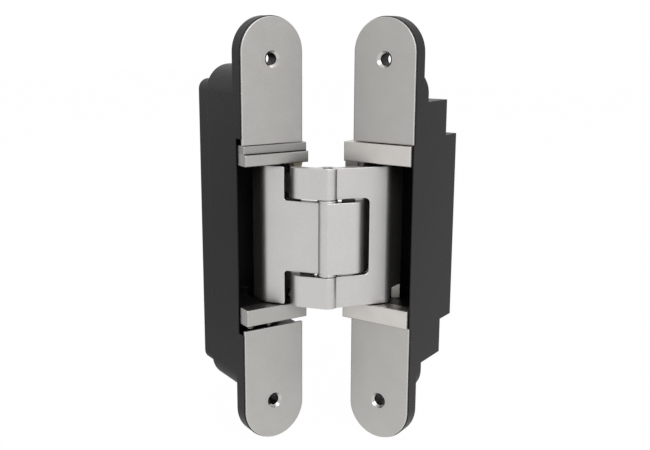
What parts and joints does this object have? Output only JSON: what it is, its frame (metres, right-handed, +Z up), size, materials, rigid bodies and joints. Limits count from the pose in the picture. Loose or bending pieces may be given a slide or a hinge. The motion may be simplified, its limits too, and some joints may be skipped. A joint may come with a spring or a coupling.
{
  "type": "concealed door hinge",
  "caption": "Concealed door hinge whose crossed arms fold into stepped housings behind rounded satin cover plates with countersunk screw holes.",
  "frame": {"origin": "centre of the frame half's flange seat, midway between its screw holes", "axes": "+Z up along the fold axis; -Y out of the frame half's face; +X across that face to its outer side"},
  "size_m": [0.1039, 0.085, 0.2],
  "materials": {
    "dark_casting": "matte black coating",
    "carrier_metal": "satin nickel",
    "satin_cover": "satin nickel",
    "satin_arm": "satin nickel",
    "pin_steel": "ground",
    "black_steel": "blackened",
    "bearing_bronze": "smooth"
  },
  "bodies": {
    "frame_half": {"frame_housing": "dark_casting", "frame_carrier": "dark_casting", "frame_head_upper": "carrier_metal", "frame_head_lower": "carrier_metal", "frame_cover_upper": "satin_cover", "frame_cover_lower": "satin_cover", "frame_pivot_pin": "black_steel", "frame_pivot_sleeves": "dark_casting"},
    "tongue_link": {"tongue_arm": "satin_arm", "tongue_guide_pin": "pin_steel", "tongue_guide_rollers": "pin_steel", "centre_pin": "pin_steel", "centre_washers": "satin_arm"},
    "fork_link": {"fork_arm": "satin_arm", "fork_guide_pin": "pin_steel", "fork_guide_rollers": "pin_steel"},
    "door_block": {"door_carrier": "dark_casting", "door_head_upper": "carrier_metal", "door_head_lower": "carrier_metal", "door_pads": "bearing_bronze", "door_spacer": "carrier_metal", "door_pivot_pin": "black_steel", "door_pivot_washers": "dark_casting", "door_spindle": "pin_steel"},
    "door_half": {"door_housing": "dark_casting", "door_cover_upper": "satin_cover", "door_cover_lower": "satin_cover"}
  },
  "joints": [
    {"name": "frame_pivot", "type": "hinge", "parent": "frame_half", "child": "tongue_link", "pos_m": [-0.01449, 0.0058, 0], "axis": [0, 0, -1], "range_deg": [-63.79, 37.46]},
    {"name": "centre_fold", "type": "hinge", "parent": "tongue_link", "child": "fork_link", "pos_m": [-0.01893, -0.0248, 0], "axis": [0, 0, -1], "range_deg": [-8.34, 14.19]},
    {"name": "door_pivot", "type": "hinge", "parent": "fork_link", "child": "door_block", "pos_m": [-0.04878, -0.01672, 0], "axis": [0, 0, -1], "range_deg": [-63.8, 37.47]},
    {"name": "height_adjust", "type": "slide", "parent": "door_block", "child": "door_half", "axis": [0, 0, 1], "range_m": [0, 0.0015]}
  ],
  "couplings": [
    {"joint": "centre_fold", "follows": "frame_pivot", "ratio": -0.22222},
    {"joint": "door_pivot", "follows": "frame_pivot", "ratio": 1}
  ]
}
